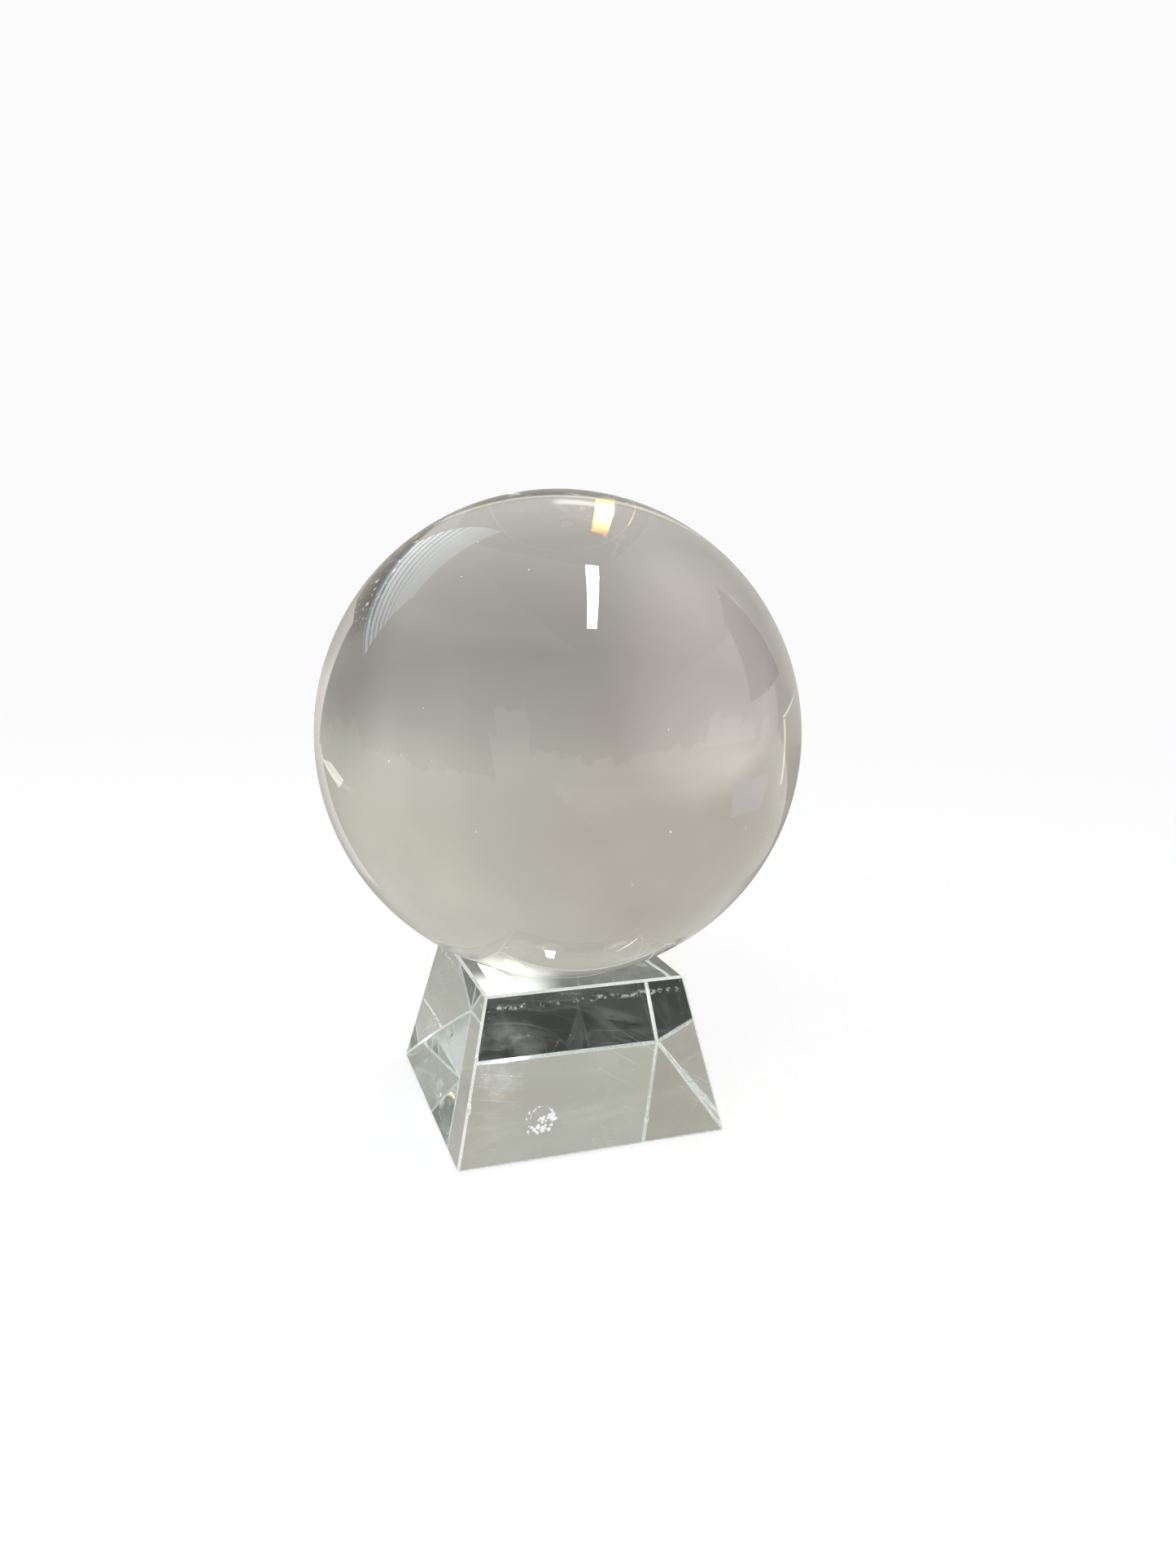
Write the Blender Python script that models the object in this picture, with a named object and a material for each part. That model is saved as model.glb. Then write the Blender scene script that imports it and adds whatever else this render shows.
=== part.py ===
"""Crystal ball on a square glass stand, as two solid pieces of clear optical glass.

Metres, +Z up. The origin is the middle of the stand's underside, and the stand's sides
run along X and Y. The ball rests loose in a round hollow ground into the stand's top
face, and lifts straight up out of it.
"""

import math

import bmesh
import bpy

# Ball
BALL_DIAMETER = 0.110

# Stand: a square block with four sloping sides
STAND_BOTTOM_SIDE = 0.062
STAND_TOP_SIDE = 0.046
STAND_HEIGHT = 0.035
EDGE_CHAMFER = 0.0005

# Seat: the hollow in the stand's top face that the ball rests in
SEAT_SINK = 0.0024  # the ball's lowest point, below the top face
SEAT_CLEARANCE = 0.0003
SEAT_OVERCUT = 0.0005  # the cutter's height above the top face

# Fineness of the round surfaces
BALL_SEGMENTS = 64
BALL_RINGS = 32
SEAT_SEGMENTS = 96
SEAT_RINGS = 10
MERGE_DISTANCE = 0.00001
SMOOTH_UP_TO = math.radians(20)

# Glass
GLASS_IOR = 1.52
BALL_COLOUR = (0.985, 0.985, 0.980, 1.0)
STAND_COLOUR = (0.955, 0.980, 0.965, 1.0)
POLISHED_ROUGHNESS = 0.01
STAND_ROUGHNESS = 0.03

BALL_RADIUS = BALL_DIAMETER / 2
BALL_CENTRE_Z = STAND_HEIGHT - SEAT_SINK + BALL_RADIUS
SEAT_RADIUS = BALL_RADIUS + SEAT_CLEARANCE


def clear_scene():
    for obj in list(bpy.data.objects):
        bpy.data.objects.remove(obj, do_unlink=True)


def glass_material(name, colour, roughness):
    material = bpy.data.materials.new(name)
    material.use_nodes = True
    shader = material.node_tree.nodes["Principled BSDF"]
    shader.inputs["Base Color"].default_value = colour
    shader.inputs["Roughness"].default_value = roughness
    shader.inputs["Metallic"].default_value = 0.0
    shader.inputs["IOR"].default_value = GLASS_IOR
    shader.inputs["Transmission Weight"].default_value = 1.0
    return material


def add_object(name, bm, material=None):
    """Turns the bmesh into a named object in the scene."""
    mesh = bpy.data.meshes.new(name)
    bm.to_mesh(mesh)
    bm.free()
    obj = bpy.data.objects.new(name, mesh)
    bpy.context.scene.collection.objects.link(obj)
    if material:
        mesh.materials.append(material)
    return obj


def make_ball():
    bm = bmesh.new()
    bmesh.ops.create_uvsphere(
        bm, u_segments=BALL_SEGMENTS, v_segments=BALL_RINGS, radius=BALL_RADIUS
    )
    material = glass_material("clear_glass", BALL_COLOUR, POLISHED_ROUGHNESS)
    ball = add_object("crystal_ball", bm, material)
    ball.location.z = BALL_CENTRE_Z
    ball.data.shade_smooth()
    return ball


def seat_profile():
    """(x, z) points of the hollow, from the axis just above the top face down its outer
    side to the bottom of the seat. The arc is centred on the ball's own centre."""
    centre_above_cut = BALL_CENTRE_Z - (STAND_HEIGHT + SEAT_OVERCUT)
    widest_angle = math.acos(centre_above_cut / SEAT_RADIUS)
    points = [(0.0, STAND_HEIGHT + SEAT_OVERCUT)]
    for ring in range(SEAT_RINGS + 1):
        angle = widest_angle * (1 - ring / SEAT_RINGS)
        x = SEAT_RADIUS * math.sin(angle)
        z = BALL_CENTRE_Z - SEAT_RADIUS * math.cos(angle)
        points.append((x, z))
    return points


def make_seat_cutter():
    bm = bmesh.new()
    verts = [bm.verts.new((x, 0.0, z)) for x, z in seat_profile()]
    for first, second in zip(verts, verts[1:]):
        bm.edges.new((first, second))
    cutter = add_object("seat_cutter", bm)
    screw = cutter.modifiers.new("turn", "SCREW")
    screw.axis = "Z"
    screw.angle = math.tau
    screw.steps = SEAT_SEGMENTS
    screw.render_steps = SEAT_SEGMENTS
    screw.use_merge_vertices = True
    screw.merge_threshold = MERGE_DISTANCE
    screw.use_smooth_shade = True
    cutter.hide_render = True
    cutter.display_type = "WIRE"
    return cutter


def make_stand(seat_cutter):
    bm = bmesh.new()
    bmesh.ops.create_cube(bm, size=1.0)
    for vert in bm.verts:
        is_top = vert.co.z > 0
        half_side = (STAND_TOP_SIDE if is_top else STAND_BOTTOM_SIDE) / 2
        vert.co.x = math.copysign(half_side, vert.co.x)
        vert.co.y = math.copysign(half_side, vert.co.y)
        vert.co.z = STAND_HEIGHT if is_top else 0.0
    material = glass_material("pale_green_glass", STAND_COLOUR, STAND_ROUGHNESS)
    stand = add_object("glass_stand", bm, material)
    stand.data.set_sharp_from_angle(angle=SMOOTH_UP_TO)

    chamfer = stand.modifiers.new("edge_chamfer", "BEVEL")
    chamfer.width = EDGE_CHAMFER
    chamfer.segments = 1
    chamfer.limit_method = "NONE"

    seat = stand.modifiers.new("seat", "BOOLEAN")
    seat.operation = "DIFFERENCE"
    seat.object = seat_cutter
    return stand


def main():
    clear_scene()
    make_stand(make_seat_cutter())
    make_ball()


main()
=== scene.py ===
"""Looks of the crystal ball and its glass stand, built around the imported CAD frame.

Metres, +Z up. The ball is a fine cube-sphere, and the stand is a block with hand-ground
edges, a polished seat and small chips. Both are clear glass, and the stand's is faintly
green. The studio is a pale floor in soft light, with a long ceiling lamp and a few panels
that only mirrors and glass show.
"""

import math

import bmesh
import bpy
from mathutils import Matrix, Vector, noise


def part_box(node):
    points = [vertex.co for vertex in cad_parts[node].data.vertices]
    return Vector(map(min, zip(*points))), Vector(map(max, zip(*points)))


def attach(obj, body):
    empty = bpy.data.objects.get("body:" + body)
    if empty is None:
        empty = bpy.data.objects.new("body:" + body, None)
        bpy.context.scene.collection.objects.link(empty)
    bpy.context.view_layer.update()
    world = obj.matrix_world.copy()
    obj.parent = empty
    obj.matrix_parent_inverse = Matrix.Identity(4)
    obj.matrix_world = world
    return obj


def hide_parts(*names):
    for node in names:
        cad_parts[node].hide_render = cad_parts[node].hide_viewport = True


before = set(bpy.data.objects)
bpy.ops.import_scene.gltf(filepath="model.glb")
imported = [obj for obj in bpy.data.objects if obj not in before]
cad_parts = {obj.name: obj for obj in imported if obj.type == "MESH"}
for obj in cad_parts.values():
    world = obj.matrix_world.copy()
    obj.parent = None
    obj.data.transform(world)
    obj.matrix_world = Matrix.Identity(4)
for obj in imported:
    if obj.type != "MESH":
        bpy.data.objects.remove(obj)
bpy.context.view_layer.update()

BALL_LOW, BALL_HIGH = (Vector(corner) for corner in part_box("crystal_ball"))
BALL_CENTRE = (BALL_LOW + BALL_HIGH) / 2
BALL_RADIUS = (BALL_HIGH.z - BALL_LOW.z) / 2
STAND_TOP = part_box("glass_stand")[1][2]

# Camera: place in ball radii from the ball's centre, and its aim
CAMERA_OFFSET = Vector((-1.391, -4.289, 0.580))
CAMERA_YAW = math.radians(-19.56)
CAMERA_PITCH = math.radians(-9.89)
CAMERA_ROLL = math.radians(1.16)
CAMERA_LENS = 24.79
SENSOR = 36.0

# Ball
BALL_CELLS = 96

# Stand
EDGE_CHAMFER = 0.0005
EDGE_STEPS = 48
EDGE_WANDER = 0.00005
EDGE_WAVES = ((180.0, 0.7), (900.0, 0.5))    # (noise scale, share of the wander)
SEAT_GAP = 0.0003
SEAT_SEGMENTS = 256
SEAT_RINGS = 28
SEAT_RIM_WIDTH = 0.00035
SEAT_OVERCUT = 0.0005
SHARP_ANGLE = math.radians(12)

# Glass
GLASS_IOR = 1.52
DEPTH_COLOUR = (0.30, 0.51, 0.49, 1.0)
DEPTH_DENSITY = 2.4
SCRATCH_DEPTH = 0.00002
GRAIN_DEPTH = 0.00005
FRACTURE_DEPTH = 0.0002

# Stage
FLOOR_DROP = 0.0002
FLOOR_SIZE = 12.0
FLOOR_FADE = (0.35, 2.2)
CEILING = 2.3
PALE = 0.965
PANEL_DISTANCE = 2.2
PANEL_CELLS = 8
SOFTBOX_SIZE = (0.9, 0.6)
SOFTBOX_POWER = 1.6
SOFTBOX_DISTANCE = 1.4


# ---------------------------------------------------------------- node helpers


def rgba(colour):
    """Gives a colour of three numbers an alpha of 1, and leaves a socket as it is."""
    return (*colour, 1.0) if isinstance(colour, tuple) and len(colour) == 3 else colour


class Graph:
    """Short calls for building one node tree."""

    def __init__(self, tree):
        self.tree = tree
        tree.nodes.clear()

    def add(self, kind, inputs=None, **settings):
        node = self.tree.nodes.new(kind)
        for name, value in settings.items():
            setattr(node, name, value)
        for name, value in (inputs or {}).items():
            self.feed(node.inputs[name], value)
        return node

    def feed(self, socket, value):
        if isinstance(value, bpy.types.NodeSocket):
            self.tree.links.new(value, socket)
        else:
            socket.default_value = value

    def math(self, operation, a, b=0.0, c=0.0, clamp=False):
        node = self.add("ShaderNodeMath", operation=operation, use_clamp=clamp)
        for socket, value in zip(node.inputs, (a, b, c)):
            self.feed(socket, value)
        return node.outputs[0]

    def vector(self, operation, a, b=(0, 0, 0)):
        node = self.add("ShaderNodeVectorMath", operation=operation)
        self.feed(node.inputs[0], a)
        self.feed(node.inputs[1], b)
        return node.outputs["Value" if operation in ("DOT_PRODUCT", "LENGTH") else "Vector"]

    def between(self, value, low, high, to_low=0.0, to_high=1.0, smooth=True):
        """value taken from the range low..high to to_low..to_high, clamped at both ends."""
        kind = "SMOOTHSTEP" if smooth else "LINEAR"
        if low > high:
            low, high, to_low, to_high = high, low, to_high, to_low
        node = self.add("ShaderNodeMapRange", interpolation_type=kind)
        for name, number in (
            ("Value", value),
            ("From Min", low),
            ("From Max", high),
            ("To Min", to_low),
            ("To Max", to_high),
        ):
            self.feed(node.inputs[name], number)
        return node.outputs["Result"]

    def noise(self, coords, scale, detail=2.0, roughness=0.5, distortion=0.0):
        node = self.add(
            "ShaderNodeTexNoise",
            {
                "Vector": coords,
                "Scale": scale,
                "Detail": detail,
                "Roughness": roughness,
                "Distortion": distortion,
            },
        )
        return node.outputs["Fac"]

    def ramp(self, value, stops):
        """A colour ramp through (place, colour) stops."""
        node = self.add("ShaderNodeValToRGB", {"Fac": value})
        points = node.color_ramp.elements
        while len(points) < len(stops):
            points.new(0.5)
        for point, (place, colour) in zip(points, stops):
            point.position = place
            point.color = rgba(colour)
        return node.outputs["Color"]

    def mix(self, factor, a, b):
        node = self.add("ShaderNodeMix", data_type="RGBA")
        self.feed(node.inputs["Factor"], factor)
        self.feed(node.inputs[6], rgba(a))
        self.feed(node.inputs[7], rgba(b))
        return node.outputs[2]

    def turned(self, coords, angles):
        node = self.add("ShaderNodeVectorRotate", rotation_type="EULER_XYZ")
        self.feed(node.inputs["Vector"], coords)
        node.inputs["Rotation"].default_value = [math.radians(angle) for angle in angles]
        return node.outputs[0]


def combined(graph, operation, values):
    """The values joined one after another by a math operation."""
    total = values[0]
    for value in values[1:]:
        total = graph.math(operation, total, value)
    return total


def most_of(graph, values):
    return combined(graph, "MAXIMUM", values)


def all_of(graph, masks):
    return combined(graph, "MULTIPLY", masks)


def away_from(graph, spot, place):
    """The distance of a spot from a place."""
    return graph.vector("LENGTH", graph.vector("SUBTRACT", spot, place))


def close_to(graph, value, middle, outer, inner):
    """1 where the value is within inner of the middle, and 0 beyond outer."""
    away = graph.math("ABSOLUTE", graph.math("SUBTRACT", value, middle))
    return graph.between(away, outer, inner)


def new_material(name):
    material = bpy.data.materials.new(name)
    material.use_nodes = True
    return material, Graph(material.node_tree)


def finish_material(graph, surface, inside=None):
    output = graph.add("ShaderNodeOutputMaterial")
    graph.feed(output.inputs["Surface"], surface)
    if inside is not None:
        graph.feed(output.inputs["Volume"], inside)


# ------------------------------------------------------------- glass materials


def glass(graph, colour, roughness, clear, height, strength, depth):
    """Glass that is matt where clear is low, with a relief of this strength and depth."""
    bump = graph.add(
        "ShaderNodeBump", {"Height": height, "Strength": strength, "Distance": depth}
    )
    shader = graph.add(
        "ShaderNodeBsdfPrincipled",
        {
            "Base Color": rgba(colour),
            "Roughness": roughness,
            "IOR": GLASS_IOR,
            "Transmission Weight": clear,
            "Normal": bump.outputs[0],
        },
    )
    return shader.outputs[0]


def green_depth(graph):
    """The stand's glass takes a little red out of light, the more the deeper it goes."""
    depth = graph.add(
        "ShaderNodeVolumeAbsorption", {"Color": DEPTH_COLOUR, "Density": DEPTH_DENSITY}
    )
    return depth.outputs[0]


def specks(graph, coords, scale, size, share):
    """A mask of small round specks: size is a share of the cell, share how many cells."""
    cells = graph.add("ShaderNodeTexVoronoi", {"Vector": coords, "Scale": scale})
    chosen = graph.add("ShaderNodeSeparateColor", {"Color": cells.outputs["Color"]})
    speck = graph.between(cells.outputs["Distance"], size, size * 0.6)
    picked = graph.math("GREATER_THAN", chosen.outputs[0], 1.0 - share)
    return graph.math("MULTIPLY", speck, picked)


def hairlines(graph, coords, angles, spacing, thin, patches):
    """A mask of fine broken scratches in one direction."""
    turned = graph.turned(coords, angles)
    drift = graph.noise(turned, 35.0, 1.0)
    line = graph.add("ShaderNodeSeparateXYZ", {"Vector": turned}).outputs[0]
    phase = graph.math("MULTIPLY_ADD", drift, 6.0, graph.math("MULTIPLY", line, spacing))
    thin_line = graph.between(graph.math("SINE", phase), thin, 1.0)
    patch = graph.between(graph.noise(coords, patches, 2.0), 0.58, 0.70)
    return graph.math("MULTIPLY", thin_line, patch)


def ball_glass():
    """Clear polished glass with a few smudges, specks of dust and hairlines."""
    material, graph = new_material("clear_glass_ball")
    coords = graph.add("ShaderNodeTexCoord").outputs["Object"]
    dust = most_of(
        graph,
        [
            specks(graph, coords, 120.0, 0.034, 0.45),
            specks(graph, coords, 240.0, 0.045, 0.30),
        ],
    )
    lines = most_of(
        graph,
        [
            hairlines(graph, coords, (20, 35, 10), 2600.0, 0.997, 26.0),
            hairlines(graph, coords, (70, 15, 60), 2100.0, 0.997, 22.0),
        ],
    )
    smudge = graph.between(graph.noise(coords, 32.0, 4.0, 0.6), 0.52, 0.78)
    roughness = graph.math("MULTIPLY", smudge, 0.018)
    roughness = graph.math("MULTIPLY_ADD", lines, 0.10, roughness)
    clear = graph.math("MULTIPLY_ADD", dust, -0.75, 1.0)
    colour = (0.985, 0.985, 0.975)
    surface = glass(graph, colour, roughness, clear, lines, 0.04, SCRATCH_DEPTH)
    finish_material(graph, surface)
    return material


# (place, radius, strength) of each cloudy mark
SMUDGES = (
    ((-0.0213, -0.0268, 0.0180), 0.0060, 0.30),
    ((-0.0235, -0.0280, 0.0095), 0.0050, 0.08),
    ((-0.0190, -0.0246, 0.0275), 0.0060, 0.14),
    ((-0.0150, -0.0257, 0.0230), 0.0055, 0.12),
    ((0.0030, -0.0262, 0.0215), 0.0070, 0.05),
    ((0.0270, 0.0080, 0.0180), 0.0070, 0.06),
    ((-0.0275, 0.0120, 0.0120), 0.0060, 0.08),
    ((0.0060, 0.0270, 0.0170), 0.0080, 0.05),
)
SMUDGE_EDGE = 0.008


def smudges(graph, coords):
    """Cloudy finger and dust marks at set places on the stand's faces, with ragged edges."""
    total = None
    ragged = graph.noise(graph.turned(coords, (25, 35, 50)), 260.0, 4.0, 0.6)
    ragged = graph.math("MULTIPLY_ADD", ragged, SMUDGE_EDGE, -SMUDGE_EDGE / 2)
    for place, radius, strength in SMUDGES:
        away = graph.math("ADD", away_from(graph, coords, place), ragged)
        mark = graph.between(away, radius, 0.0, 0.0, strength)
        total = mark if total is None else graph.math("ADD", total, mark)
    texture = graph.noise(coords, 320.0, 4.0, 0.65)
    return graph.math("MULTIPLY", total, graph.between(texture, 0.30, 0.65, 0.45, 1.0))


def dust_line(graph, coords):
    """A broken line of dust just under the stand's top edge."""
    height = graph.add("ShaderNodeSeparateXYZ", {"Vector": coords}).outputs[2]
    crumbs = graph.noise(coords, 700.0, 4.0, 0.7)
    return all_of(
        graph,
        [
            graph.between(height, STAND_TOP - 0.0036, STAND_TOP - 0.0029),
            graph.between(height, STAND_TOP - 0.0018, STAND_TOP - 0.0025),
            graph.between(crumbs, 0.50, 0.62, 0.0, 0.40),
        ],
    )


def stand_glass():
    """The stand's polished faces: clear glass, green in its depth, with a wiped film, a
    line of dust, smudges, specks and scratches."""
    material, graph = new_material("pale_green_glass_stand")
    coords = graph.add("ShaderNodeTexCoord").outputs["Object"]
    wiped = graph.vector("MULTIPLY", coords, (1.0, 1.0, 4.0))
    film = graph.between(graph.noise(wiped, 55.0, 4.0, 0.6, 0.6), 0.52, 0.80, 0.0, 0.08)
    lines = most_of(
        graph,
        [
            hairlines(graph, coords, (5, 80, 0), 2400.0, 0.996, 60.0),
            hairlines(graph, coords, (0, 60, 35), 1900.0, 0.997, 45.0),
        ],
    )
    dust = most_of(
        graph,
        [
            specks(graph, coords, 260.0, 0.045, 0.25),
            specks(graph, coords, 520.0, 0.070, 0.12),
        ],
    )
    cloudy = combined(graph, "ADD", [film, smudges(graph, coords), dust_line(graph, coords)])
    cloudy = graph.math("MULTIPLY_ADD", lines, 0.25, cloudy)
    cloudy = graph.math("MULTIPLY_ADD", dust, 0.65, cloudy, clamp=True)
    clear = graph.math("SUBTRACT", 1.0, cloudy, clamp=True)
    roughness = graph.math("MULTIPLY_ADD", lines, 0.08, graph.math("MULTIPLY", film, 0.08))
    colour = (0.99, 1.0, 0.995)
    surface = glass(graph, colour, roughness, clear, lines, 0.05, SCRATCH_DEPTH)
    finish_material(graph, surface, green_depth(graph))
    return material


def ground_glass():
    """The narrow hand-ground chamfers: half frosted, with a fine grain."""
    material, graph = new_material("ground_edge_glass")
    coords = graph.add("ShaderNodeTexCoord").outputs["Object"]
    grain = graph.noise(coords, 1500.0, 3.0, 0.6)
    clear = graph.between(graph.noise(coords, 160.0, 2.0), 0.35, 0.65, 0.25, 0.40)
    roughness = graph.between(grain, 0.3, 0.7, 0.16, 0.30)
    colour = (0.97, 0.985, 0.965)
    surface = glass(graph, colour, roughness, clear, grain, 0.12, GRAIN_DEPTH)
    finish_material(graph, surface, green_depth(graph))
    return material


def fracture_glass():
    """Bright crushed glass inside the chips."""
    material, graph = new_material("chipped_glass")
    coords = graph.add("ShaderNodeTexCoord").outputs["Object"]
    shells = graph.noise(coords, 1800.0, 4.0, 0.65)
    clear = graph.between(shells, 0.45, 0.70, 0.0, 0.35)
    roughness = graph.between(shells, 0.3, 0.7, 0.45, 0.20)
    colour = (0.97, 0.98, 0.97)
    surface = glass(graph, colour, roughness, clear, shells, 0.6, FRACTURE_DEPTH)
    finish_material(graph, surface, green_depth(graph))
    return material


# ---------------------------------------------------------------------- pieces


def add_object(name, bm):
    mesh = bpy.data.meshes.new(name)
    bm.to_mesh(mesh)
    bm.free()
    obj = bpy.data.objects.new(name, mesh)
    bpy.context.scene.collection.objects.link(obj)
    return obj


def make_ball():
    """A cube-sphere: each face of a cube is a grid of equal angles, pushed out to the
    ball's radius, so no cell is pinched and the surface is even from every side."""
    bm = bmesh.new()
    bmesh.ops.create_cube(bm, size=2.0)
    bmesh.ops.subdivide_edges(bm, edges=bm.edges[:], cuts=BALL_CELLS - 1, use_grid_fill=True)
    for vert in bm.verts:
        spread = Vector(math.tan(part * math.pi / 4) for part in vert.co)
        vert.co = BALL_CENTRE + spread.normalized() * BALL_RADIUS
    ball = add_object("ball", bm)
    ball.data.shade_smooth()
    ball.data.materials.append(ball_glass())
    return ball


POLISHED, GROUND, CHIPPED = range(3)


def half_side_at(height):
    """Half of the CAD stand's width where its flat face at this height ends."""
    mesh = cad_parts["glass_stand"].data
    level = [v.co for v in mesh.vertices if abs(v.co.z - height) < 0.00001]
    return max(abs(co.x) for co in level)


def stand_corners():
    """The eight sharp corners that the chamfered block comes from."""
    bottom = half_side_at(0.0) + EDGE_CHAMFER
    top = half_side_at(STAND_TOP) + EDGE_CHAMFER
    ring = ((-1, -1), (1, -1), (1, 1), (-1, 1))
    low = [Vector((x * bottom, y * bottom, 0.0)) for x, y in ring]
    high = [Vector((x * top, y * top, STAND_TOP)) for x, y in ring]
    return low + high


STAND_FACES = (
    (3, 2, 1, 0),
    (4, 5, 6, 7),
    (0, 1, 5, 4),
    (1, 2, 6, 5),
    (2, 3, 7, 6),
    (3, 0, 4, 7),
)


def inset_corner(corner, before, after):
    """The point inside a face that lies one chamfer from both of the corner's edges."""
    back = (before - corner).normalized()
    ahead = (after - corner).normalized()
    return corner + (back + ahead) * EDGE_CHAMFER / back.cross(ahead).length


def wandering_side(start, end, inward):
    """Points along one edge of a face, with the slight waver of hand grinding, which
    fades out at both ends."""
    points = []
    for step in range(EDGE_STEPS):
        share = step / EDGE_STEPS
        point = start.lerp(end, share)
        fade = min(1.0, 6 * math.sin(math.pi * share))
        drift = sum(noise.noise(point * scale) * part for scale, part in EDGE_WAVES)
        points.append(point + inward * abs(drift) * EDGE_WANDER * fade)
    return points


def make_block():
    """The stand's chamfered block: six faces, twelve ground strips and eight corners."""
    bm = bmesh.new()
    corners = stand_corners()
    sides = {}
    for face in STAND_FACES:
        inner = [
            inset_corner(corners[face[i]], corners[face[i - 1]], corners[face[(i + 1) % 4]])
            for i in range(4)
        ]
        normal = (inner[1] - inner[0]).cross(inner[2] - inner[0]).normalized()
        loop = []
        starts = []
        for i in range(4):
            start, end = inner[i], inner[(i + 1) % 4]
            inward = normal.cross(end - start).normalized()
            starts.append(len(loop))
            loop += [bm.verts.new(point) for point in wandering_side(start, end, inward)]
        bm.faces.new(loop).material_index = POLISHED
        for i in range(4):
            first = starts[i]
            side = [loop[(first + step) % len(loop)] for step in range(EDGE_STEPS + 1)]
            sides[face[i], face[(i + 1) % 4]] = side
    for (a, b), side in sides.items():
        if a > b:
            continue
        other = sides[b, a][::-1]
        for step in range(EDGE_STEPS):
            strip = (side[step + 1], side[step], other[step], other[step + 1])
            bm.faces.new(strip).material_index = GROUND
    for corner in range(8):
        ends = [side[0] for (a, _), side in sides.items() if a == corner]
        bm.faces.new(ends).material_index = GROUND
    bmesh.ops.recalc_face_normals(bm, faces=bm.faces[:])
    return add_object("stand_block", bm)


def seat_profile():
    """(radius, height) points of the seat, from its bottom to above the stand's top."""
    radius = BALL_RADIUS + SEAT_GAP
    drop = BALL_CENTRE.z - STAND_TOP
    rim = math.sqrt(radius**2 - drop**2)
    arc_end = math.asin((rim - SEAT_RIM_WIDTH / 2) / radius)
    points = []
    for ring in range(SEAT_RINGS + 1):
        angle = arc_end * ring / SEAT_RINGS
        points.append((radius * math.sin(angle), BALL_CENTRE.z - radius * math.cos(angle)))
    last_x, last_z = points[-1]
    slope = (STAND_TOP - last_z) / SEAT_RIM_WIDTH
    reach = SEAT_RIM_WIDTH + SEAT_OVERCUT / slope
    points.append((last_x + reach, last_z + reach * slope))
    return points


def make_seat_cutter():
    """The seat's profile turned round, with a ground rim."""
    bm = bmesh.new()
    profile = seat_profile()
    bottom = bm.verts.new((0.0, 0.0, profile[0][1]))
    rings = []
    for x, z in profile[1:]:
        ring = []
        for segment in range(SEAT_SEGMENTS):
            angle = math.tau * segment / SEAT_SEGMENTS
            ring.append(bm.verts.new((x * math.cos(angle), x * math.sin(angle), z)))
        rings.append(ring)
    for i in range(SEAT_SEGMENTS):
        j = (i + 1) % SEAT_SEGMENTS
        bm.faces.new((bottom, rings[0][j], rings[0][i])).smooth = True
        for inner, outer in zip(rings, rings[1:]):
            face = bm.faces.new((inner[i], inner[j], outer[j], outer[i]))
            face.smooth = True
            if outer is rings[-1]:
                face.material_index = GROUND
    bm.faces.new(rings[-1])
    bmesh.ops.recalc_face_normals(bm, faces=bm.faces[:])
    return add_object("seat_cutter", bm)


CHIP_LUMPS = (1.4, 0.5)       # (noise scale, share of the radius)
CHIP_RIPPLES = (4.5, 0.16)


def make_chip_cutter(name, place, outward, size, material, seed):
    """An uneven lump that takes one flake out of the block. Its size is along, up and
    into the surface that faces outward."""
    bm = bmesh.new()
    bmesh.ops.create_icosphere(bm, subdivisions=4, radius=1.0)
    for vert in bm.verts:
        lumps = noise.noise(vert.co * CHIP_LUMPS[0] + Vector((seed, 0, 0))) * CHIP_LUMPS[1]
        ripples = noise.noise(vert.co * CHIP_RIPPLES[0] + Vector((0, seed, 0))) * CHIP_RIPPLES[1]
        vert.co *= 1.0 + lumps + ripples
    turn = outward.to_track_quat("Z", "Y")
    shape = Matrix.LocRotScale(place, turn, Vector(size))
    bmesh.ops.transform(bm, matrix=shape, verts=bm.verts[:])
    for face in bm.faces:
        face.material_index = material
        face.smooth = True
    return add_object(name, bm)


# Bruise: (x, height) of its place on the front face, then its parts, whose places are
# along and up the face from there
BRUISE_PLACE = (-0.0118, 0.0082)
SHELL_RISE = 0.0003
SHELL_RADIUS = 0.0026
SHELL_DEPTH = 0.00016
LUMPS = (                     # (place, spread, count of flakes)
    ((-0.0004, -0.0017), 1.75, 10),
    ((-0.0001, 0.0000), 0.80, 6),
    ((0.0020, 0.0004), 0.80, 6),
)
LUMP_FLAKE = 0.00048
LUMP_STEP = 0.00045
LUMP_TURN = 2.4
RIM_CRUMBS = 15
SIDE_CRUMBS = (
    (-0.0032, -0.0010),
    (-0.0036, 0.0006),
    (-0.0029, 0.0019),
    (-0.0034, -0.0021),
)

# Nicks: (low corner, high corner, share of the way up, length)
EDGE_NICKS = (
    (0, 4, 0.37, 0.0017),
    (0, 4, 0.31, 0.0009),
    (0, 4, 0.66, 0.0012),
    (1, 5, 0.12, 0.0008),
    (2, 6, 0.55, 0.0012),
    (3, 7, 0.22, 0.0010),
)


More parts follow.
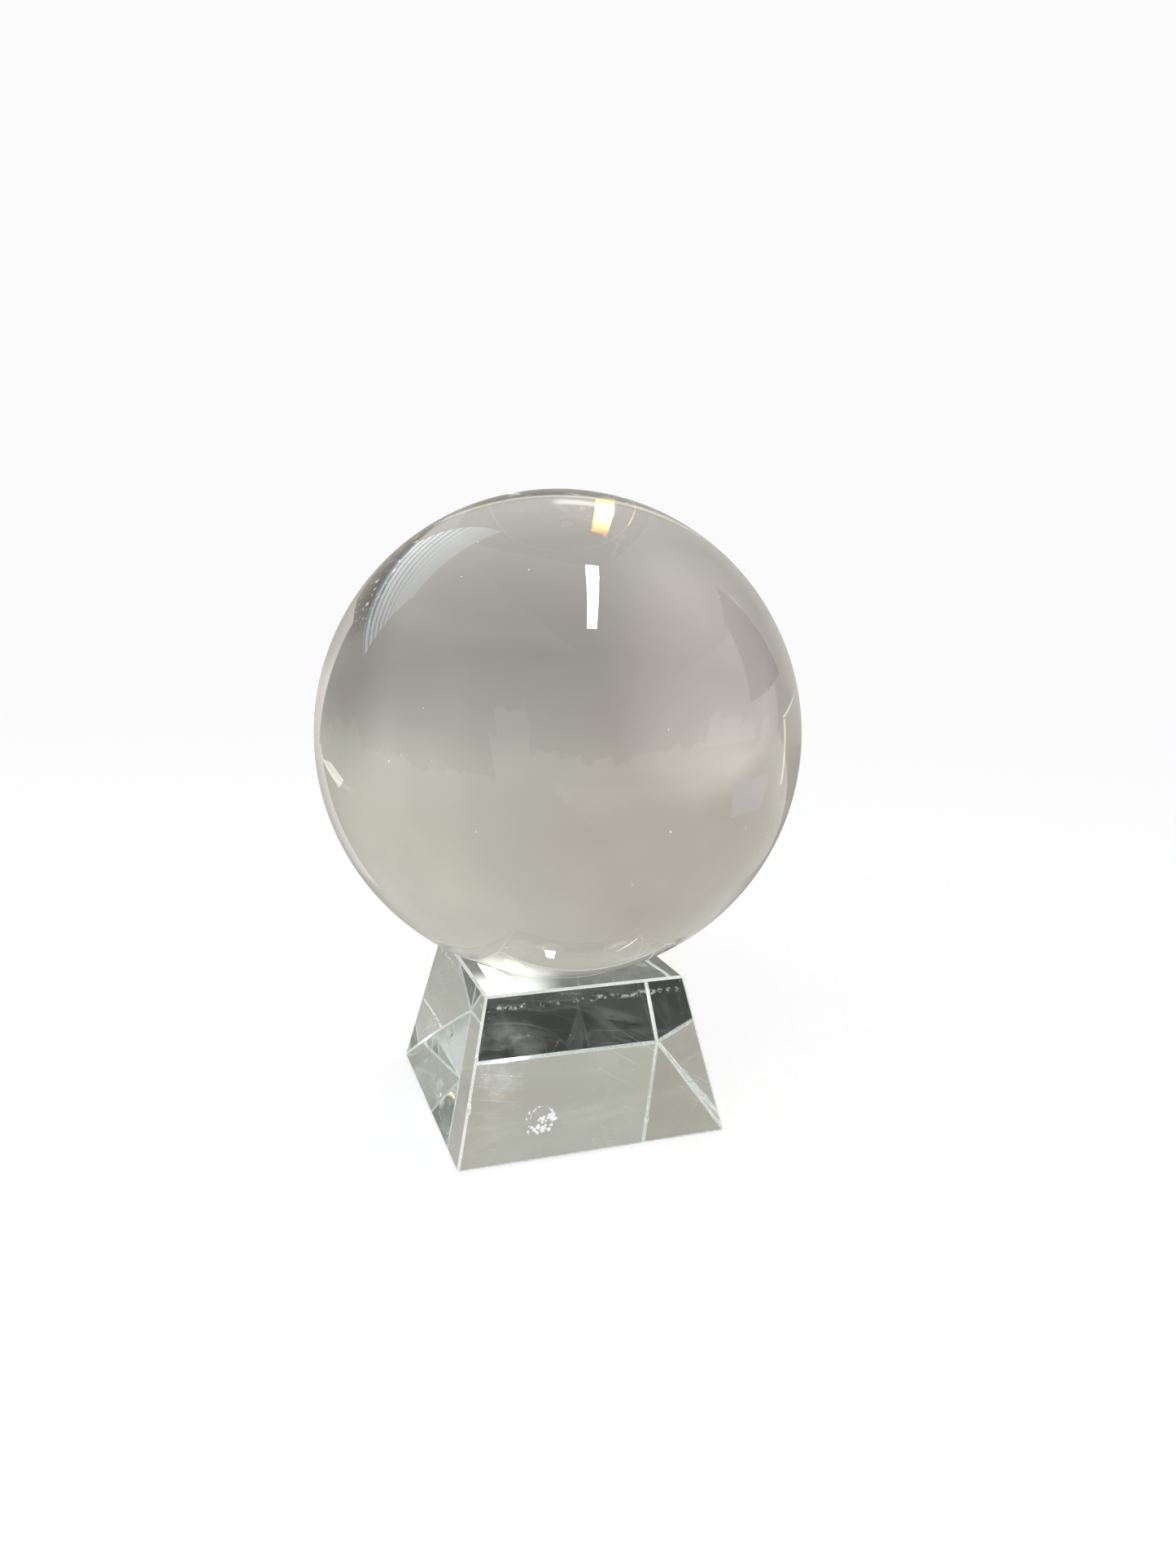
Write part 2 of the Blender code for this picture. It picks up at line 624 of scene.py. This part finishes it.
def bruise():
    """The bruise on the front face: a shallow shell, three lumps of crushed flakes inside
    it, and crumbs along its upper rim and beside it."""
    corners = stand_corners()
    low, high = corners[0], corners[4]
    slope = (high.y - low.y) / STAND_TOP
    up = Vector((0.0, slope, 1.0)).normalized()
    outward = Vector((1, 0, 0)).cross(up)
    flakes = []

    def add_flake(x, rise, size, material=CHIPPED):
        height = BRUISE_PLACE[1] + rise * up.z
        place = Vector((BRUISE_PLACE[0] + x, low.y + slope * height, height))
        flakes.append((place, outward, size, material))

    add_flake(0.0, SHELL_RISE, (SHELL_RADIUS, SHELL_RADIUS, SHELL_DEPTH), POLISHED)
    for (x, rise), spread, count in LUMPS:
        for i in range(count):
            angle = LUMP_TURN * i
            away = LUMP_STEP * math.sqrt(i + 0.3)
            along = x + spread * away * math.cos(angle)
            above = rise + away * 0.8 * math.sin(angle)
            size = LUMP_FLAKE - 0.00002 * i
            add_flake(along, above, (size * 1.2, size, size * 0.5))
    for i in range(RIM_CRUMBS):
        angle = math.radians(15 + 11 * i)
        above = SHELL_RISE + SHELL_RADIUS * math.sin(angle)
        size = 0.00010 + 0.00005 * (i % 3)
        add_flake(SHELL_RADIUS * math.cos(angle), above, (size * 1.6, size, size * 0.6))
    for i, (x, rise) in enumerate(SIDE_CRUMBS):
        size = 0.00012 + 0.00003 * i
        add_flake(x, rise, (size, size * 1.8, size * 0.6))
    return flakes


def nicks():
    """Small nicks along the upright edges."""
    corners = stand_corners()
    flakes = []
    for low, high, share, length in EDGE_NICKS:
        place = corners[low].lerp(corners[high], share)
        outward = Vector((place.x, place.y, 0.0)).normalized()
        place -= outward * EDGE_CHAMFER * 0.60
        flakes.append((place, outward, (length * 0.30, length, length * 0.22), CHIPPED))
    return flakes


def cut(obj, cutter):
    """Takes the cutter's shape out of the object."""
    modifier = obj.modifiers.new(cutter.name, "BOOLEAN")
    modifier.operation = "DIFFERENCE"
    modifier.solver = "MANIFOLD"
    modifier.object = cutter


def make_stand():
    """The block with the seat and the chips cut out of it."""
    block = make_block()
    materials = [stand_glass(), ground_glass(), fracture_glass()]
    cutters = [make_seat_cutter()]
    for i, flake in enumerate(bruise() + nicks()):
        cutters.append(make_chip_cutter(f"chip_{i}", *flake, 7.0 * i))
    for obj in [block, *cutters]:
        for material in materials:
            obj.data.materials.append(material)
    for cutter in cutters:
        cut(block, cutter)
    graph = bpy.context.evaluated_depsgraph_get()
    mesh = bpy.data.meshes.new_from_object(block.evaluated_get(graph))
    mesh.name = "stand"
    stand = bpy.data.objects.new("stand", mesh)
    bpy.context.scene.collection.objects.link(stand)
    for obj in [block, *cutters]:
        bpy.data.objects.remove(obj, do_unlink=True)
    mesh.set_sharp_from_angle(angle=SHARP_ANGLE)
    return stand


# ----------------------------------------------------------------------- stage


def towards(azimuth, elevation):
    """A unit vector: azimuth 0 points along -Y and 90 along +X, in degrees."""
    a, e = math.radians(azimuth), math.radians(elevation)
    return Vector((math.sin(a) * math.cos(e), -math.cos(a) * math.cos(e), math.sin(e)))


def only_in_glass(obj, mirrored=True, through=True):
    """Leaves the object to reflections and to what shows through glass."""
    obj.visible_camera = False
    obj.visible_diffuse = False
    obj.visible_shadow = False
    obj.visible_volume_scatter = False
    obj.visible_glossy = mirrored
    obj.visible_transmission = through


def finish_glow(material, graph, colour, strength):
    emission = graph.add("ShaderNodeEmission", {"Color": rgba(colour), "Strength": strength})
    finish_material(graph, emission.outputs[0])
    return material


def glow(name, colour, strength):
    return finish_glow(*new_material(name), colour, strength)


def length_of(graph):
    """0 at the start of a panel's length and 1 at its end."""
    coords = graph.add("ShaderNodeTexCoord").outputs["UV"]
    return graph.add("ShaderNodeSeparateXYZ", {"Vector": coords}).outputs[1]


def glow_along(name, stops, strength):
    """A glow whose colour changes along the panel's length."""
    material, graph = new_material(name)
    return finish_glow(material, graph, graph.ramp(length_of(graph), stops), strength)


def slatted_glow(name, colour, strength, slats):
    """A glow crossed by the fine dark lines of a slatted blind, which fade towards the end
    of the panel's length."""
    material, graph = new_material(name)
    along = length_of(graph)
    wave = graph.math("SINE", graph.math("MULTIPLY", along, slats * math.tau))
    lines = graph.between(wave, 0.0, 0.8)
    depth = graph.between(along, 0.80, 0.35, 0.0, 0.75)
    power = graph.math("MULTIPLY_ADD", graph.math("MULTIPLY", lines, depth), -1.0, 1.0)
    power = graph.math("MULTIPLY", power, graph.between(along, 0.0, 1.0, strength, strength * 0.7))
    return finish_glow(material, graph, colour, power)


def panel(name, width, height, matrix, material):
    """A flat panel of this width and height, turned and placed by the matrix."""
    bm = bmesh.new()
    bm.loops.layers.uv.new("UVMap")
    bmesh.ops.create_grid(bm, x_segments=1, y_segments=1, size=0.5, calc_uvs=True)
    bmesh.ops.scale(bm, vec=(width, height, 1.0), verts=bm.verts[:])
    obj = add_object(name, bm)
    obj.matrix_world = matrix
    obj.data.materials.append(material)
    return obj


def panel_between(name, corners, material):
    """A panel whose four corners lie in these (azimuth, elevation) directions from the
    ball. Its length runs from the first corner to the last one."""
    a, b, c, d = (towards(*corner) for corner in corners)
    bm = bmesh.new()
    uv = bm.loops.layers.uv.new("UVMap")
    grid = {}
    for i in range(PANEL_CELLS + 1):
        for j in range(PANEL_CELLS + 1):
            u, v = i / PANEL_CELLS, j / PANEL_CELLS
            line = a.lerp(b, u).lerp(d.lerp(c, u), v)
            grid[i, j] = bm.verts.new(BALL_CENTRE + line.normalized() * PANEL_DISTANCE)
    for i in range(PANEL_CELLS):
        for j in range(PANEL_CELLS):
            square = ((i, j), (i + 1, j), (i + 1, j + 1), (i, j + 1))
            face = bm.faces.new([grid[spot] for spot in square])
            for loop, (x, y) in zip(face.loops, square):
                loop[uv].uv = (x / PANEL_CELLS, y / PANEL_CELLS)
    obj = add_object(name, bm)
    obj.data.materials.append(material)
    return obj


def upright(name, start, end, height, material):
    """A wall panel that stands on the line between two places on the floor."""
    bm = bmesh.new()
    spots = ((*start, 0.0), (*end, 0.0), (*end, height), (*start, height))
    bm.faces.new([bm.verts.new(spot) for spot in spots])
    obj = add_object(name, bm)
    obj.data.materials.append(material)
    return obj


# Lamp: place and size in heights of the ceiling above the ball's centre, and its colours
# through the glass as (share of its length, colour)
LAMP_PLACE = (0.095, -0.415)
LAMP_SIZE = (0.080, 0.67)
LAMP_TURN = -10.5
LAMP_COLOURS = (
    (0.00, (0.20, 0.20, 0.19)),
    (0.50, (0.20, 0.20, 0.19)),
    (0.62, (0.12, 0.20, 0.19)),
    (0.72, (0.20, 0.20, 0.19)),
    (0.86, (0.20, 0.20, 0.18)),
    (0.90, (1.0, 1.0, 0.55)),
    (0.93, (1.0, 1.0, 0.30)),
    (0.95, (1.0, 0.80, 0.05)),
    (0.97, (1.0, 0.30, 0.01)),
    (1.00, (1.0, 0.15, 0.0)),
)


def make_lamp():
    """The long ceiling lamp: white in mirrors, and split into colours through the glass."""
    height = CEILING - BALL_CENTRE.z
    place = Matrix.Translation(
        Vector((LAMP_PLACE[0] * height, LAMP_PLACE[1] * height, CEILING))
    ) @ Matrix.Rotation(math.radians(LAMP_TURN), 4, "Z")
    size = (LAMP_SIZE[0] * height, LAMP_SIZE[1] * height)
    mirrored = panel("lamp_mirrored", *size, place, glow("lamp_white", (1.0, 0.99, 0.96), 60.0))
    only_in_glass(mirrored, through=False)
    split = glow_along("lamp_split", LAMP_COLOURS, 120.0)
    through = panel("lamp_through", *size, place, split)
    only_in_glass(through, mirrored=False)


# Side box on the floor behind the ball: the ends of its two sides that show
SIDE_BOX = ((-0.240, 0.200), (-0.262, 0.490), (-0.262, 0.516))
SIDE_BOX_LIGHT = (0.86, 0.85, 0.74)


def make_room_shapes():
    """Bright and dark shapes of a room, which only mirrors or glass show."""
    window = panel_between(
        "slatted_window",
        [(-128.0, 17.4), (-171.0, 24.8), (-164.4, 60.4), (-126.7, 40.4)],
        slatted_glow("window_light", (0.80, 0.92, 1.0), 2.4, slats=10),
    )
    only_in_glass(window, through=False)
    side_lamp = panel_between(
        "side_lamp",
        [(102.9, 1.9), (112.2, 1.3), (119.8, 3.3), (115.9, 5.6)],
        glow("side_lamp_light", (1.0, 1.0, 0.94), 0.98),
    )
    only_in_glass(side_lamp, mirrored=False)
    cabinet = panel_between(
        "tall_cabinet",
        [(112.0, 8.5), (107.0, 36.0), (88.6, 33.0), (79.5, 9.6)],
        glow("cabinet_shade", (0.20, 0.17, 0.17), 0.5),
    )
    only_in_glass(cabinet, through=False)
    front, corner, back = SIDE_BOX
    side_box = upright(
        "side_box", corner, front, 0.15, glow("side_box_shade", (0.43, 0.40, 0.34), 1.0)
    )
    only_in_glass(side_box, mirrored=False)
    side_edge = upright(
        "side_box_edge", corner, back, 0.12, glow("side_box_edge_light", SIDE_BOX_LIGHT, 1.0)
    )
    only_in_glass(side_edge, mirrored=False)
    low_box = panel_between(
        "low_box",
        [(-158.0, 0.2), (-171.0, 0.2), (-170.0, 6.0), (-159.0, 6.5)],
        glow("low_box_shade", (0.47, 0.45, 0.43), 1.0),
    )
    only_in_glass(low_box, mirrored=False)


def on_matt(graph):
    """1 for light that falls on matt surfaces."""
    path = graph.add("ShaderNodeLightPath").outputs
    return graph.math("GREATER_THAN", path["Diffuse Depth"], 0.5)


def is_seen_directly(graph):
    """1 for what the camera sees with nothing between, and for light that falls on
    matt surfaces; 0 for what mirrors and glass show."""
    path = graph.add("ShaderNodeLightPath").outputs
    return graph.math("MAXIMUM", path["Is Camera Ray"], on_matt(graph))


def near(graph, direction, azimuth, elevation, inner, outer):
    """1 within inner degrees of a direction from the ball, and 0 beyond outer degrees."""
    cosine = graph.vector("DOT_PRODUCT", direction, tuple(towards(azimuth, elevation)))
    return graph.between(cosine, math.cos(math.radians(outer)), math.cos(math.radians(inner)))


def tinted(graph, colour, mask, factors):
    """The colour multiplied by the factors where the mask is 1."""
    return graph.mix(mask, colour, graph.vector("MULTIPLY", colour, factors))


# Colours of the room from straight down to straight up
ROOM_TONES = (
    (0.000, (0.580, 0.565, 0.525)),
    (0.170, (0.460, 0.445, 0.415)),
    (0.305, (0.352, 0.335, 0.310)),
    (0.375, (0.345, 0.330, 0.305)),
    (0.430, (0.445, 0.432, 0.395)),
    (0.470, (0.530, 0.520, 0.462)),
    (0.550, (0.520, 0.505, 0.435)),
    (0.750, (0.520, 0.508, 0.440)),
    (1.000, (0.545, 0.535, 0.475)),
)
# (azimuth, elevation, inner and outer degrees, factors) of its lighter and darker sides
ROOM_SIDES = (
    (185, -15, 5, 20, (1.52, 1.48, 1.51)),
    (197, -36, 6, 24, (0.76, 0.75, 0.75)),
    (117, -20, 4, 26, (0.64, 0.65, 0.64)),
    (125, 18, 10, 50, (1.10, 1.13, 1.13)),
    (182, 12, 10, 40, (0.88, 0.85, 0.86)),
)
# (boxes per radian, lowest and highest top) of its furniture
FURNITURE = ((4.6, -0.17, -0.03), (11.0, -0.20, -0.06), (31.0, -0.19, -0.10))


def room_tones(graph, direction):
    """What mirrors and glass show of the room in a direction from the ball: a warm grey
    that is darkest a little below the horizon."""
    height = graph.add("ShaderNodeSeparateXYZ", {"Vector": direction}).outputs[2]
    return graph.ramp(graph.between(height, -1.0, 1.0, smooth=False), ROOM_TONES)


def furniture(graph, direction):
    """A mask of low, boxy shapes of uneven height all round the room."""
    parts = graph.add("ShaderNodeSeparateXYZ", {"Vector": direction}).outputs
    turn = graph.math("ARCTAN2", parts[0], parts[1])
    tops = []
    for count, low, high in FURNITURE:
        box = graph.math("FLOOR", graph.math("MULTIPLY", turn, count))
        pick = graph.add("ShaderNodeTexWhiteNoise", {"W": box}, noise_dimensions="1D")
        tops.append(graph.between(pick.outputs["Value"], 0.2, 1.0, low, high, smooth=False))
    ragged = graph.noise(direction, 30.0, 3.0, 0.6)
    ragged = graph.between(ragged, 0.3, 0.7, -0.012, 0.012)
    top = graph.math("ADD", most_of(graph, tops), ragged)
    above = graph.math("SUBTRACT", parts[2], top)
    return all_of(
        graph, [graph.between(above, 0.003, -0.003), graph.between(parts[2], -0.30, -0.17)]
    )


def room_sides(graph, direction, colour):
    """The room's soft lighter and darker sides, its furniture and its unevenness."""
    for azimuth, elevation, inner, outer, factors in ROOM_SIDES:
        side = near(graph, direction, azimuth, elevation, inner, outer)
        colour = tinted(graph, colour, side, factors)
    colour = tinted(graph, colour, furniture(graph, direction), (0.93, 0.93, 0.93))
    blotch = graph.between(graph.noise(direction, 3.5, 3.0, 0.55), 0.3, 0.7)
    return tinted(graph, colour, blotch, (0.92, 0.92, 0.92))


BRIGHT_WALL = (0.95, 0.905, 0.885)
WALL_MIDDLE = towards(100, 0)
WALL_EDGE = towards(101, 0).cross(towards(112, 28))


def bright_wall(graph, direction):
    """A mask of the bright wall on the +X side of the room, with a slanting far edge."""
    height = graph.add("ShaderNodeSeparateXYZ", {"Vector": direction}).outputs[2]
    inside = graph.vector("DOT_PRODUCT", direction, tuple(WALL_EDGE))
    ahead = graph.vector("DOT_PRODUCT", direction, tuple(WALL_MIDDLE))
    return all_of(
        graph,
        [
            graph.between(inside, -0.003, 0.003),
            graph.between(ahead, 0.45, 0.70),
            graph.between(height, 0.52, 0.48),
        ],
    )


def make_world():
    """A pale studio. Mirrors and glass see a greyer room with some depth to it."""
    world = bpy.data.worlds.new("studio")
    bpy.context.scene.world = world
    world.use_nodes = True
    graph = Graph(world.node_tree)
    direction = graph.add("ShaderNodeTexCoord").outputs["Generated"]
    room = room_sides(graph, direction, room_tones(graph, direction))
    room = graph.mix(bright_wall(graph, direction), room, BRIGHT_WALL)
    open_air = graph.mix(on_matt(graph), (PALE, PALE, PALE), (1.0, 1.0, 1.0))
    colour = graph.mix(is_seen_directly(graph), room, open_air)
    background = graph.add("ShaderNodeBackground", {"Color": colour, "Strength": 1.0})
    output = graph.add("ShaderNodeOutputWorld")
    graph.feed(output.inputs["Surface"], background.outputs[0])


# The floor as glass shows it: its tones, painted light that is brightest in a ring round the stand
# and dimmer farther out, as (share of their reach, colour)
TONES_REACH = 0.5
PAINTED_FLOOR_LIGHT = (
    (0.06, (0.56, 0.55, 0.51)),
    (0.185, (0.70, 0.69, 0.64)),
    (0.26, (0.57, 0.55, 0.51)),
    (0.34, (0.46, 0.445, 0.415)),
    (0.44, (0.395, 0.38, 0.355)),
    (0.55, (0.36, 0.345, 0.325)),
    (0.68, (0.355, 0.342, 0.32)),
)
# Painted rings of shade and caustic light that multiply them close round the stand, as (share of
# the way over the range, factors)
RINGS_RANGE = (0.06, 0.11)
PAINTED_RINGS = (
    (0.00, (1.0, 1.0, 1.0)),
    (0.18, (1.0, 1.0, 1.0)),
    (0.24, (0.35, 0.36, 0.36)),
    (0.46, (0.40, 0.41, 0.41)),
    (0.54, (2.20, 2.18, 2.10)),
    (0.66, (1.90, 1.88, 1.80)),
    (0.72, (0.80, 0.79, 0.77)),
    (0.82, (1.0, 1.0, 1.0)),
)
# Azimuth and reach of the painted bright caustic streak, and azimuth of the dark gap
CAUSTIC_STREAK_AZIMUTH = 165
CAUSTIC_STREAK_REACH = 0.107
GAP_AZIMUTH = 124
# The ball's painted shade and its painted focus of light, and half the side of the floor that the
# stand covers
SHADE_PLACE = (0.017, 0.040, 0.0)
FOCUS_PLACE = (-0.014, 0.003, 0.0)
STAND_FOOT = 0.0315
# The wall's pale sheet: where its side crosses x = 0, and the slants of its side and end
SHEET_SIDE = 0.082
SHEET_SIDE_SLANT = -0.142
SHEET_END_SLANT = -0.656
# Middle of the light strip along the side box
STRIP_PLACE = -0.248


def sector(graph, bearing, azimuth, outer, inner):
    """A mask of the bearings near an azimuth, from the cosine outer to inner."""
    cosine = graph.vector("DOT_PRODUCT", bearing, tuple(towards(azimuth, 0)))
    return graph.between(cosine, outer, inner)


def floor_rings(graph, spot, reach, tones):
    """The floor close round the stand, as it shows through the ball near its top: painted rings of
    shade and caustic light, a painted bright caustic streak, and a dark gap with bright crumbs in
    it."""
    rings = graph.ramp(graph.between(reach, *RINGS_RANGE, smooth=False), PAINTED_RINGS)
    floor_with_painted_light = graph.vector("MULTIPLY", tones, rings)
    bearing = graph.vector("NORMALIZE", graph.vector("MULTIPLY", spot, (1.0, 1.0, 0.0)))
    # Painted caustic highlight: a short bright arc on the floor
    caustic_streak = all_of(
        graph,
        [
            sector(graph, bearing, CAUSTIC_STREAK_AZIMUTH, 0.9955, 0.9995),
            close_to(graph, reach, CAUSTIC_STREAK_REACH, 0.008, 0.002),
        ],
    )
    floor_with_painted_light = graph.mix(caustic_streak, floor_with_painted_light, (1.25, 1.25, 1.18))
    gap = all_of(
        graph,
        [
            sector(graph, bearing, GAP_AZIMUTH, 0.983, 0.990),
            graph.between(reach, 0.075, 0.085),
            graph.between(reach, 0.27, 0.15),
        ],
    )
    crumbs = graph.between(graph.noise(spot, 170.0, 3.0, 0.6), 0.60, 0.66)
    gap_colour = graph.mix(crumbs, (0.03, 0.032, 0.028), (1.6, 1.55, 1.35))
    floor_with_painted_light = graph.mix(gap, floor_with_painted_light, gap_colour)
    through = graph.add("ShaderNodeLightPath").outputs["Is Transmission Ray"]
    return graph.mix(through, tones, floor_with_painted_light)


def open_floor(graph, spot, reach):
    """The floor's painted light and shade, which become the room's tones farther away."""
    tones = graph.ramp(graph.between(reach, 0.0, TONES_REACH, smooth=False), PAINTED_FLOOR_LIGHT)
    rings = floor_rings(graph, spot, reach, tones)
    offset = graph.vector("SUBTRACT", spot, tuple(BALL_CENTRE))
    direction = graph.vector("NORMALIZE", offset)
    far = graph.between(reach, 0.26, 0.42)
    colour = graph.mix(far, rings, room_tones(graph, direction))
    return room_sides(graph, direction, colour)


def ball_shade(graph, spot, colour):
    """The ball's painted shadow on the floor, with painted bright caustic veins along its edge."""
    from_shade = away_from(graph, spot, SHADE_PLACE)
    caustic_veins = all_of(
        graph,
        [
            close_to(graph, graph.noise(spot, 55.0, 2.0), 0.5, 0.022, 0.004),
            graph.between(from_shade, 0.030, 0.044),
            graph.between(from_shade, 0.056, 0.050),
        ],
    )
    shade = graph.between(from_shade, 0.052, 0.043)
    colour = graph.mix(shade, colour, (0.022, 0.026, 0.023))
    return graph.mix(caustic_veins, colour, (0.85, 0.86, 0.80))


def under_stand(graph, spot, parts, colour):
    """Painted shade on the floor under the stand, with a painted spot of the light that the ball
    brings together there.
    """
    aside = graph.math("ABSOLUTE", parts[0])
    ahead = graph.math("ABSOLUTE", parts[1])
    beneath = graph.math("LESS_THAN", graph.math("MAXIMUM", aside, ahead), STAND_FOOT)
    painted_focus = graph.between(away_from(graph, spot, FOCUS_PLACE), 0.019, 0.004)
    painted_shade_and_focus = graph.mix(painted_focus, (0.16, 0.165, 0.15), (2.2, 2.2, 2.06))
    return graph.mix(beneath, colour, painted_shade_and_focus)


def wall_sheet(graph, parts, reach, colour):
    """The bright wall's pale sheet on the floor, with a straight side and a straight end."""
    side = graph.math("SUBTRACT", parts[1], SHEET_SIDE)
    side = graph.math("MULTIPLY_ADD", parts[0], SHEET_SIDE_SLANT, side)
    end = graph.math("MULTIPLY_ADD", parts[1], SHEET_END_SLANT, parts[0])
    sheet = all_of(
        graph,
        [
            graph.between(side, 0.002, -0.002),
            graph.between(end, 0.097, 0.101),
            graph.between(parts[1], -0.45, -0.25),
        ],
    )
    near_by = graph.between(reach, 0.36, 0.20)
    return graph.mix(sheet, colour, graph.mix(near_by, BRIGHT_WALL, (0.60, 0.585, 0.56)))


def box_strip(graph, parts, colour):
    """The light strip on the floor along the side box."""
    strip = all_of(
        graph,
        [
            close_to(graph, parts[0], STRIP_PLACE, 0.011, 0.007),
            graph.between(parts[1], 0.50, 0.48),
            graph.between(parts[1], 0.12, 0.16),
        ],
    )
    return graph.mix(strip, colour, SIDE_BOX_LIGHT)


def floor_in_glass(graph):
    """The floor as mirrors and glass show it: a glow with the light and shade round the stand
    painted in.
    """
    spot = graph.add("ShaderNodeNewGeometry").outputs["Position"]
    parts = graph.add("ShaderNodeSeparateXYZ", {"Vector": spot}).outputs
    reach = graph.vector("LENGTH", spot)
    colour = open_floor(graph, spot, reach)
    colour = ball_shade(graph, spot, colour)
    colour = under_stand(graph, spot, parts, colour)
    colour = wall_sheet(graph, parts, reach, colour)
    return box_strip(graph, parts, colour)


def mixed(graph, factor, first, second):
    """A shader that goes from the first one to the second as the factor goes to 1."""
    node = graph.add("ShaderNodeMixShader")
    for socket, value in zip(node.inputs, (factor, first.outputs[0], second.outputs[0])):
        graph.feed(socket, value)
    return node


def floor_material():
    """A matt pale floor that fades into the studio round it. Mirrors and glass see it as a
    glow in the room's tones, with painted light and shade."""
    material, graph = new_material("pale_floor")
    spot = graph.add("ShaderNodeNewGeometry").outputs["Position"]
    pale = (PALE, PALE, PALE, 1.0)
    matt = graph.add("ShaderNodeBsdfDiffuse", {"Color": pale})
    flat = graph.add("ShaderNodeEmission", {"Color": pale, "Strength": 1.0})
    fade = graph.between(graph.vector("LENGTH", spot), *FLOOR_FADE)
    direct = mixed(graph, fade, matt, flat)
    # A glow with painted light and shade, which only mirrors and glass see
    floor_with_painted_light = graph.add("ShaderNodeEmission", {"Color": floor_in_glass(graph), "Strength": 1.0})
    finish_material(graph, mixed(graph, is_seen_directly(graph), floor_with_painted_light, direct).outputs[0])
    return material


def make_floor():
    place = Matrix.Translation((0.0, 0.0, -FLOOR_DROP))
    panel("floor", FLOOR_SIZE, FLOOR_SIZE, place, floor_material())


def make_light():
    """A soft light high up in front, which mirrors and glass leave out."""
    light = bpy.data.lights.new("softbox", "AREA")
    light.shape = "RECTANGLE"
    light.size, light.size_y = SOFTBOX_SIZE
    light.energy = SOFTBOX_POWER
    obj = bpy.data.objects.new("softbox", light)
    bpy.context.scene.collection.objects.link(obj)
    place = BALL_CENTRE + towards(-35, 55) * SOFTBOX_DISTANCE
    turn = (place - BALL_CENTRE).to_track_quat("Z", "Y")
    obj.matrix_world = Matrix.LocRotScale(place, turn, None)
    obj.visible_glossy = False
    obj.visible_transmission = False


def make_camera():
    """The photo's camera, turned by its yaw, pitch and roll."""
    forward = Vector(
        (
            -math.sin(CAMERA_YAW) * math.cos(CAMERA_PITCH),
            math.cos(CAMERA_YAW) * math.cos(CAMERA_PITCH),
            math.sin(CAMERA_PITCH),
        )
    )
    level_right = forward.cross(Vector((0, 0, 1))).normalized()
    level_up = level_right.cross(forward)
    right = level_right * math.cos(CAMERA_ROLL) + level_up * math.sin(CAMERA_ROLL)
    up = level_up * math.cos(CAMERA_ROLL) - level_right * math.sin(CAMERA_ROLL)
    data = bpy.data.cameras.new("camera")
    data.sensor_fit = "AUTO"
    data.sensor_width = SENSOR
    data.lens = CAMERA_LENS
    data.clip_start = 0.01
    camera = bpy.data.objects.new("camera", data)
    bpy.context.scene.collection.objects.link(camera)
    turn = Matrix((right, up, -forward)).transposed().to_4x4()
    place = BALL_CENTRE + CAMERA_OFFSET * BALL_RADIUS
    camera.matrix_world = Matrix.Translation(place) @ turn
    bpy.context.scene.camera = camera


def set_light_paths():
    """Plain view colours. Glass needs long paths, and the lamp's small inner images must
    not be clamped."""
    scene = bpy.context.scene
    scene.view_settings.view_transform = "Standard"
    cycles = scene.cycles
    cycles.max_bounces = 24
    cycles.transmission_bounces = 24
    cycles.glossy_bounces = 16
    cycles.diffuse_bounces = 3
    cycles.sample_clamp_indirect = 0.0
    cycles.blur_glossy = 0.0


# ------------------------------------------------------------------------ main

make_camera()
make_world()
make_floor()
make_light()
make_lamp()
make_room_shapes()
set_light_paths()

ball = make_ball()
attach(ball, "ball")
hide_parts("crystal_ball")

stand = make_stand()
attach(stand, "stand")
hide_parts("glass_stand")
